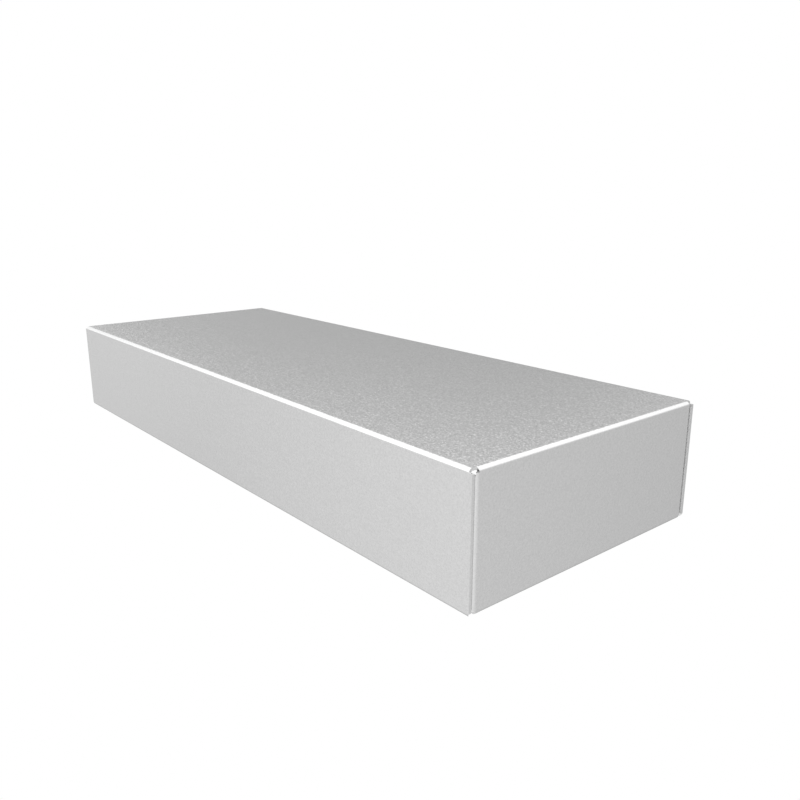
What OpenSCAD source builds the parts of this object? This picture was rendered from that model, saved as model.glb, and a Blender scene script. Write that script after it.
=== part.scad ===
// Aluminium electronics chassis, cut and folded from one sheet.
// A closed deck on top, a wall on each side, and flanges turned in along the open bottom.
// Tabs on the end walls turn behind the long walls and are spot-welded to them through dimples.
// Millimetres. +X runs along the length, +Z is up, and the origin is the centre of the base.

/* [Body] */
// Outside length
body_length = 342.9; // [120:0.1:500]
// Outside width
body_width = 127; // [80:0.1:300]
// Outside height
body_height = 50.8; // [30:0.1:150]

/* [Sheet] */
// Thickness of the sheet
sheet_thickness = 1.016; // [0.6:0.001:2]
// Inside radius of every bend
bend_radius = 0.508; // [0.3:0.001:2]

/* [Bottom flanges] */
// Width of a flange, from the outside of its wall
flange_width = 12.7; // [8:0.1:30]
// Gap between two flanges along the mitre where they meet
mitre_gap = 0.2; // [0.1:0.05:2]

/* [Corners] */
// Width of a tab, from the outside of its end wall
tab_width = 12.7; // [10:0.1:30]
// Gap between a tab and the long wall that it laps
tab_gap = 0.635; // [0.2:0.005:1.2]
// Depth of the relief that lowers each tab where three bends meet under the deck
relief_depth = 1; // [0.2:0.1:3]

/* [Spot welds] */
// Welds up each tab
weld_count = 2; // [1:1:4]
// Diameter of the dimple that each weld presses in its tab
weld_diameter = 6; // [4:0.1:8]
// Depth to which the dimple sinks into the long wall
weld_depth = 0.1; // [0.05:0.01:0.2]

/* [Hidden] */
$fn = 64;

half_length = body_length / 2;
half_width = body_width / 2;
// Outside radius of every bend
outer_radius = bend_radius + sheet_thickness;
// Heights between which the walls are flat
wall_low = outer_radius;
wall_high = body_height - outer_radius;
// Top of a tab behind its long wall
tab_high = wall_high - relief_depth;
// Face of a tab that looks at its long wall
tab_face = half_width - sheet_thickness - tab_gap;
// The end folds run out to where the corner bends start
end_fold_reach = tab_face - outer_radius;
// Each flange stands back from the mitre line by half the gap, measured along its wall
mitre_setback = mitre_gap / sqrt(2);
// Cutting tools reach this far past the faces that they cut
overcut = 2;

// Puts its children, made for the +X +Y corner, at all four corners
module each_corner() {
    for (flip_x = [0, 1], flip_y = [0, 1])
        mirror([flip_x, 0, 0])
            mirror([0, flip_y, 0])
                children();
}

// Rectangle about the origin with round corners
module rounded_outline(width, height, radius) {
    square([width - 2 * radius, height], center = true);
    square([width, height - 2 * radius], center = true);
    for (x = [-1, 1], y = [-1, 1])
        translate([x * (width / 2 - radius), y * (height / 2 - radius)])
            circle(radius);
}

// Loop of sheet seen end on, with a bend at each corner
module sheet_loop(width, height) {
    difference() {
        rounded_outline(width, height, outer_radius);
        rounded_outline(width - 2 * sheet_thickness, height - 2 * sheet_thickness, bend_radius);
    }
}

// Section across the chassis: deck, two walls and two flanges, standing on the X axis
module fold_section(span) {
    difference() {
        translate([0, body_height / 2])
            sheet_loop(span, body_height);
        translate([flange_width - span / 2, -overcut])
            square([span - 2 * flange_width, overcut + wall_low]);
    }
}

// What is cut from a flange beyond the mitre line, which leaves the wall at the given point
module mitre_cut(x, y) {
    reach = flange_width + overcut;
    translate([x, y, -overcut])
        linear_extrude(overcut + wall_low)
            polygon([[-reach, -reach], [overcut, overcut], [overcut, -reach]]);
}

// Sheet folded along the length: deck, long walls and their flanges
module long_fold() {
    difference() {
        rotate([90, 0, 90])
            linear_extrude(body_length, center = true)
                fold_section(body_width);
        each_corner() {
            translate([half_length - outer_radius, -overcut, wall_high])
                cube([outer_radius + overcut, half_width + 2 * overcut, outer_radius + overcut]);
            mitre_cut(half_length - mitre_setback, half_width);
        }
    }
}

// Sheet folded across the ends: end walls and their flanges, still joined to the deck
module end_fold() {
    difference() {
        rotate([90, 0, 0])
            linear_extrude(2 * end_fold_reach, center = true)
                fold_section(body_length);
        each_corner()
            mirror([1, -1, 0])
                mitre_cut(half_width - mitre_setback, half_length);
    }
}

// Corner bend of an end wall and the tab that laps the long wall, lowered from the middle of the bend on
module corner_tab() {
    difference() {
        translate([0, 0, wall_low])
            linear_extrude(wall_high - wall_low)
                intersection() {
                    sheet_loop(body_length, 2 * tab_face);
                    translate([half_length - tab_width, end_fold_reach])
                        square([tab_width, tab_face - end_fold_reach]);
                }
        translate([half_length - outer_radius, end_fold_reach, tab_high])
            rotate(45)
                translate([-tab_width, 0, 0])
                    cube([2 * tab_width, 2 * tab_width, relief_depth + overcut]);
    }
}

// Cones of the weld dimples up one tab, each sinking from the given face towards the long wall
module weld_dimples(face) {
    middle = half_length - (tab_width + outer_radius) / 2;
    spacing = (tab_high - wall_low) / weld_count;
    for (i = [0 : weld_count - 1])
        translate([middle, face - weld_depth, wall_low + (i + 0.5) * spacing])
            rotate([-90, 0, 0])
                cylinder(
                    h = tab_gap + 2 * weld_depth,
                    d1 = weld_diameter + 2 * weld_depth,
                    d2 = weld_diameter - 2 * (tab_gap + weld_depth)
                );
}

// The whole folded and welded sheet
module chassis() {
    color([0.78, 0.79, 0.8])
        difference() {
            union() {
                long_fold();
                end_fold();
                each_corner() {
                    corner_tab();
                    weld_dimples(tab_face);
                }
            }
            each_corner()
                weld_dimples(tab_face - sheet_thickness);
        }
}

chassis();
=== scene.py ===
import math

import bpy
from mathutils import Euler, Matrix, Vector

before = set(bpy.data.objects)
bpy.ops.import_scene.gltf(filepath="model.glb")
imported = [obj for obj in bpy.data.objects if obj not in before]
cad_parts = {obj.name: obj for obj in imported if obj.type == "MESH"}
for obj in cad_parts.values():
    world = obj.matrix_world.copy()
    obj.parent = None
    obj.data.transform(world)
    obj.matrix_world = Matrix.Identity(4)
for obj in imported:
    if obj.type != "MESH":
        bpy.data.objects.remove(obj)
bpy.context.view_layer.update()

# Camera: its turn about +Z from looking along +Y, and how far it looks down
CAMERA_PLACE = Vector((0.32846, -0.22407, 0.13283))
CAMERA_TURN = math.radians(50)
CAMERA_DIP = math.radians(15)
CAMERA_LENS_MM = 35
CAMERA_SENSOR_MM = 36
NEAREST_SEEN = 0.01
FARTHEST_SEEN = 100

# Bare aluminium
METAL_COLOR = (0.90, 0.90, 0.90)
METAL_ROUGHNESS = 0.18
# Share of the metal's brightness that is left just short of the grazing angle
GRAZING_TINT = (0.72, 0.72, 0.72, 1)

# Fine speckle that shades the metal and tilts its surface
SPECKLE_PER_METRE = 1250
SPECKLE_DETAIL = 1.0
SPECKLE_FINENESS = 1.0
SPECKLE_CONTRAST = 0.07
# Middle of the speckle's colours, which leaves the surface as it is
SPECKLE_MIDDLE = (0.5, 0.5, 0.5)
# The level deck is tilted more than the bends and walls
DECK_TILT = 0.30
WALL_TILT = 0.06
# Height of a unit normal from which the tilt grows towards the deck's
LEVEL_FROM = 0.9

# Faint grain along the length, which shades the metal and changes its roughness
GRAIN_ACROSS_PER_METRE = 2500
GRAIN_ALONG_PER_METRE = 120
GRAIN_DETAIL = 3.0
GRAIN_CONTRAST = 0.02
GRAIN_ROUGHNESS = 0.06

# White floor and backdrop, seen by the camera only
STAGE_RADIUS = 8
STAGE_SEGMENTS = 64
BACKDROP_RINGS = 32
FLOOR_DROP = 0.0001
STAGE_GLOW = 1.0
WHITE = (1, 1, 1, 1)

# Soft light round the chassis, in azimuths and elevations in degrees, where azimuth 0 is +X and 90 is +Y.
# It leans to one side: stronger by the lean there, and weaker by as much on the other side.
LIGHT_BASE = 0.66
LIGHT_LEAN = 0.16
LEAN_AZIMUTH = 291
# Patches added to it. Each is full out to one angle from its middle and gone at the other.
LIGHT_PATCHES = {
    "left": {"azimuth": 203, "elevation": 40, "full": 31, "gone": 49, "strength": 2.0},
    "upper_back": {"azimuth": 170, "elevation": 68, "full": 5, "gone": 58, "strength": 0.92},
    "right": {"azimuth": 74, "elevation": 46, "full": 18, "gone": 56, "strength": 0.6},
    "lower_back": {"azimuth": 121, "elevation": 13, "full": 33, "gone": 41, "strength": 0.055},
    "lower_left": {"azimuth": 187, "elevation": -10, "full": 0, "gone": 20, "strength": 0.185},
}
# The sum of these is held to a limit
LIGHT_LIMIT = 1.22
# Overhead it turns to one plain strength, between these heights in a unit sphere
OVERHEAD_LIGHT = 0.68
OVERHEAD_HEIGHTS = (0.766, 0.883)
# Reflections are followed this many times from face to face
GLOSSY_BOUNCES = 12


def add_node(tree, kind, inputs=None, **settings):
    """Adds a shader node, sets its properties and fills its inputs with values or sockets."""
    made = tree.nodes.new(kind)
    for name, value in settings.items():
        setattr(made, name, value)
    for name, value in (inputs or {}).items():
        if isinstance(value, bpy.types.NodeSocket):
            tree.links.new(value, made.inputs[name])
        else:
            made.inputs[name].default_value = value
    return made


def math_node(tree, operation, a, b):
    """Output of a Math node on two numbers or sockets."""
    return add_node(tree, "ShaderNodeMath", {0: a, 1: b}, operation=operation).outputs[0]


def vector_node(tree, operation, a, b=(0, 0, 0), **inputs):
    """Vector output of a Vector Math node on two vectors or sockets."""
    made = add_node(tree, "ShaderNodeVectorMath", {0: a, 1: b, **inputs}, operation=operation)
    return made.outputs["Vector"]


def ranged(tree, value, low, high, from_low=0.0, from_high=1.0):
    """Value carried smoothly from one range to another, held at the ends."""
    made = add_node(
        tree,
        "ShaderNodeMapRange",
        {"Value": value, "From Min": from_low, "From Max": from_high, "To Min": low, "To Max": high},
        interpolation_type="SMOOTHSTEP",
    )
    return made.outputs["Result"]


def empty_tree(owner):
    """Node tree of a material or a world, with nothing in it."""
    owner.use_nodes = True
    owner.node_tree.nodes.clear()
    return owner.node_tree


def aluminium_material():
    """Mill-finish sheet: a fine speckle that tilts and shades it, and a faint grain along its length."""
    material = bpy.data.materials.new("aluminium_sheet")
    tree = empty_tree(material)
    place = add_node(tree, "ShaderNodeTexCoord").outputs["Object"]
    speckle = add_node(
        tree,
        "ShaderNodeTexNoise",
        {
            "Vector": place,
            "Scale": SPECKLE_PER_METRE,
            "Detail": SPECKLE_DETAIL,
            "Roughness": SPECKLE_FINENESS,
        },
    )
    along = GRAIN_ALONG_PER_METRE / GRAIN_ACROSS_PER_METRE
    stretched = add_node(tree, "ShaderNodeMapping", {"Vector": place, "Scale": (along, 1, 1)})
    grain = add_node(
        tree,
        "ShaderNodeTexNoise",
        {"Vector": stretched.outputs[0], "Scale": GRAIN_ACROSS_PER_METRE, "Detail": GRAIN_DETAIL},
    ).outputs["Fac"]

    speckle_shade = ranged(tree, speckle.outputs["Fac"], 1 - SPECKLE_CONTRAST, 1 + SPECKLE_CONTRAST)
    grain_shade = ranged(tree, grain, 1 - GRAIN_CONTRAST, 1 + GRAIN_CONTRAST)
    shade = math_node(tree, "MULTIPLY", speckle_shade, grain_shade)
    color = vector_node(tree, "SCALE", METAL_COLOR, Scale=shade)
    smoothest = METAL_ROUGHNESS - GRAIN_ROUGHNESS
    roughest = METAL_ROUGHNESS + GRAIN_ROUGHNESS
    roughness = ranged(tree, grain, smoothest, roughest)

    flat = add_node(tree, "ShaderNodeNewGeometry").outputs["Normal"]
    upward = add_node(tree, "ShaderNodeSeparateXYZ", {"Vector": flat}).outputs["Z"]
    amount = ranged(tree, upward, WALL_TILT, DECK_TILT, LEVEL_FROM, 1.0)
    tilt = vector_node(tree, "SUBTRACT", speckle.outputs["Color"], SPECKLE_MIDDLE)
    tilt = vector_node(tree, "SCALE", tilt, Scale=amount)
    normal = vector_node(tree, "NORMALIZE", vector_node(tree, "ADD", flat, tilt))

    metal = add_node(
        tree,
        "ShaderNodeBsdfPrincipled",
        {
            "Base Color": color,
            "Metallic": 1.0,
            "Roughness": roughness,
            "Specular Tint": GRAZING_TINT,
            "Normal": normal,
        },
    )
    add_node(tree, "ShaderNodeOutputMaterial", {"Surface": metal.outputs[0]})
    return material


def stage_material():
    """Plain white that glows by itself, so that it shows no shadow."""
    material = bpy.data.materials.new("white_stage")
    tree = empty_tree(material)
    glow = add_node(tree, "ShaderNodeEmission", {"Color": WHITE, "Strength": STAGE_GLOW})
    add_node(tree, "ShaderNodeOutputMaterial", {"Surface": glow.outputs[0]})
    return material


def add_stage():
    """White floor, and a white dome over it for the backdrop."""
    white = stage_material()
    bpy.ops.mesh.primitive_circle_add(
        vertices=STAGE_SEGMENTS,
        radius=STAGE_RADIUS,
        fill_type="NGON",
        location=(0, 0, -FLOOR_DROP),
    )
    floor = bpy.context.object
    floor.name = "floor"
    bpy.ops.mesh.primitive_uv_sphere_add(
        segments=STAGE_SEGMENTS,
        ring_count=BACKDROP_RINGS,
        radius=STAGE_RADIUS,
    )
    backdrop = bpy.context.object
    backdrop.name = "backdrop"
    for piece in (floor, backdrop):
        piece.data.materials.append(white)
        piece.visible_diffuse = False
        piece.visible_glossy = False
        piece.visible_transmission = False
        piece.visible_shadow = False


def compass(azimuth, elevation):
    """Unit vector towards an azimuth and an elevation in degrees."""
    a = math.radians(azimuth)
    e = math.radians(elevation)
    return Vector((math.cos(a) * math.cos(e), math.sin(a) * math.cos(e), math.sin(e)))


def add_world():
    """Light from all round that leans to one side, with soft patches in it and plain light overhead."""
    world = bpy.data.worlds.new("soft_light")
    tree = empty_tree(world)
    direction = add_node(tree, "ShaderNodeTexCoord").outputs["Generated"]

    def towards(azimuth, elevation):
        """Cosine of the angle between the ray and an azimuth and elevation."""
        middle = compass(azimuth, elevation)
        dot = add_node(tree, "ShaderNodeVectorMath", {0: direction, 1: middle}, operation="DOT_PRODUCT")
        return dot.outputs["Value"]

    lean = math_node(tree, "MULTIPLY", towards(LEAN_AZIMUTH, 0), LIGHT_LEAN)
    strength = math_node(tree, "ADD", lean, LIGHT_BASE)
    for patch in LIGHT_PATCHES.values():
        nearness = towards(patch["azimuth"], patch["elevation"])
        edges = [math.cos(math.radians(patch[edge])) for edge in ("gone", "full")]
        added = ranged(tree, nearness, 0.0, patch["strength"], *edges)
        strength = math_node(tree, "ADD", strength, added)
    strength = math_node(tree, "MINIMUM", strength, LIGHT_LIMIT)
    overhead = ranged(tree, towards(0, 90), 0.0, 1.0, *OVERHEAD_HEIGHTS)
    mixed = add_node(tree, "ShaderNodeMix", {"Factor": overhead, "A": strength, "B": OVERHEAD_LIGHT})
    light = add_node(
        tree,
        "ShaderNodeBackground",
        {"Color": WHITE, "Strength": mixed.outputs["Result"]},
    )
    add_node(tree, "ShaderNodeOutputWorld", {"Surface": light.outputs[0]})
    bpy.context.scene.world = world


def add_camera():
    """Camera in its solved place, with all of the picture in focus."""
    data = bpy.data.cameras.new("camera")
    data.lens = CAMERA_LENS_MM
    data.sensor_width = CAMERA_SENSOR_MM
    data.clip_start = NEAREST_SEEN
    data.clip_end = FARTHEST_SEEN
    camera = bpy.data.objects.new("camera", data)
    camera.location = CAMERA_PLACE
    camera.rotation_euler = Euler((math.pi / 2 - CAMERA_DIP, 0, CAMERA_TURN))
    bpy.context.scene.collection.objects.link(camera)
    bpy.context.scene.camera = camera


def dress_chassis():
    """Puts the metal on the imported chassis."""
    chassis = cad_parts["chassis"]
    chassis.data.materials.clear()
    chassis.data.materials.append(aluminium_material())


dress_chassis()
add_stage()
add_world()
add_camera()
bpy.context.scene.view_settings.view_transform = "Standard"
bpy.context.scene.cycles.glossy_bounces = GLOSSY_BOUNCES
bpy.context.scene.cycles.max_bounces = GLOSSY_BOUNCES
